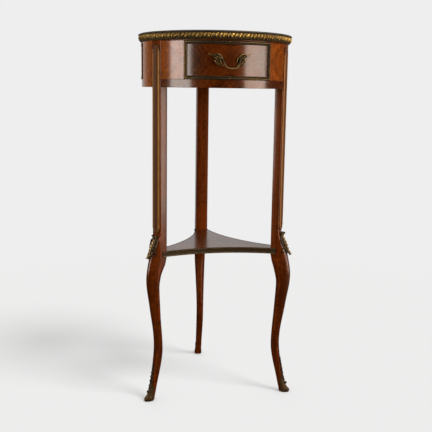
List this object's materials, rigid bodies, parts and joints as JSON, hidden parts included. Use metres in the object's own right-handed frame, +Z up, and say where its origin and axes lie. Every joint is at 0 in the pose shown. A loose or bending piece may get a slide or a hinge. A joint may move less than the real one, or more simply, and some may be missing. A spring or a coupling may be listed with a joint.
{
  "type": "side table",
  "caption": "Round side table on cabriole legs, with a bow-fronted drawer in its drum, a hollow-sided shelf at knee height and gilt brass mounts.",
  "frame": {"origin": "on the floor, on the axis of the round top, at the middle of the footprint", "axes": "+Z up along the table's axis, -Y towards the front where the drawer opens, +X to the right seen from the front"},
  "size_m": [0.322, 0.3558, 0.76],
  "materials": {
    "drum_veneer": "polished red-brown veneer",
    "leg_wood": "polished dark red-brown wood",
    "top_and_shelf_veneer": "high polish",
    "plain_wood": "unpolished carcase wood",
    "gilt_brass": "aged gilt brass",
    "steel": "plain steel"
  },
  "bodies": {
    "table": {"top_rim": "gilt_brass", "top_board": "plain_wood", "top_veneer": "top_and_shelf_veneer", "frieze_panel_back_left": "drum_veneer", "frieze_panel_back_right": "drum_veneer", "frieze_cheek_left": "drum_veneer", "frieze_cheek_right": "drum_veneer", "drawer_rail_lower": "drum_veneer", "drawer_rail_upper": "drum_veneer", "drum_floor": "plain_wood", "leg_front_left": "leg_wood", "leg_front_right": "leg_wood", "leg_back": "leg_wood", "leg_strip_front_left": "gilt_brass", "leg_strip_front_right": "gilt_brass", "leg_strip_back": "gilt_brass", "knee_mount_front_left": "gilt_brass", "knee_mount_front_right": "gilt_brass", "knee_mount_back": "gilt_brass", "foot_shoe_front_left": "gilt_brass", "foot_shoe_front_right": "gilt_brass", "foot_shoe_back": "gilt_brass", "shelf_board": "top_and_shelf_veneer", "shelf_band_front": "gilt_brass", "shelf_band_back_left": "gilt_brass", "shelf_band_back_right": "gilt_brass", "panel_border_left_top": "gilt_brass", "panel_border_left_bottom": "gilt_brass", "panel_border_left_left": "gilt_brass", "panel_border_left_right": "gilt_brass", "panel_border_right_top": "gilt_brass", "panel_border_right_bottom": "gilt_brass", "panel_border_right_left": "gilt_brass", "panel_border_right_right": "gilt_brass", "drawer_guide_left": "plain_wood", "drawer_guide_right": "plain_wood", "drawer_kicker_left": "plain_wood", "drawer_kicker_right": "plain_wood", "drawer_stop_left": "plain_wood", "drawer_stop_right": "plain_wood", "corner_block_front_left": "plain_wood", "corner_block_front_right": "plain_wood", "corner_block_back": "plain_wood", "top_screw_front_left": "steel", "top_screw_front_right": "steel", "top_screw_back": "steel"},
    "drawer": {"drawer_front": "drum_veneer", "drawer_side_left": "plain_wood", "drawer_side_right": "plain_wood", "drawer_back": "plain_wood", "drawer_bottom": "plain_wood", "drawer_border_top": "gilt_brass", "drawer_border_bottom": "gilt_brass", "drawer_border_left": "gilt_brass", "drawer_border_right": "gilt_brass", "handle_mount_left": "gilt_brass", "handle_mount_right": "gilt_brass", "handle_nut_left": "gilt_brass", "handle_nut_right": "gilt_brass"},
    "bail": {"handle_bail": "gilt_brass"}
  },
  "joints": [
    {"name": "drawer_slide", "type": "slide", "parent": "table", "child": "drawer", "axis": [0, -1, 0], "range_m": [0, 0.16]},
    {"name": "bail_swing", "type": "hinge", "parent": "drawer", "child": "bail", "pos_m": [0, -0.1687, 0.7075], "axis": [-1, 0, 0], "range_deg": [0, 100]}
  ]
}
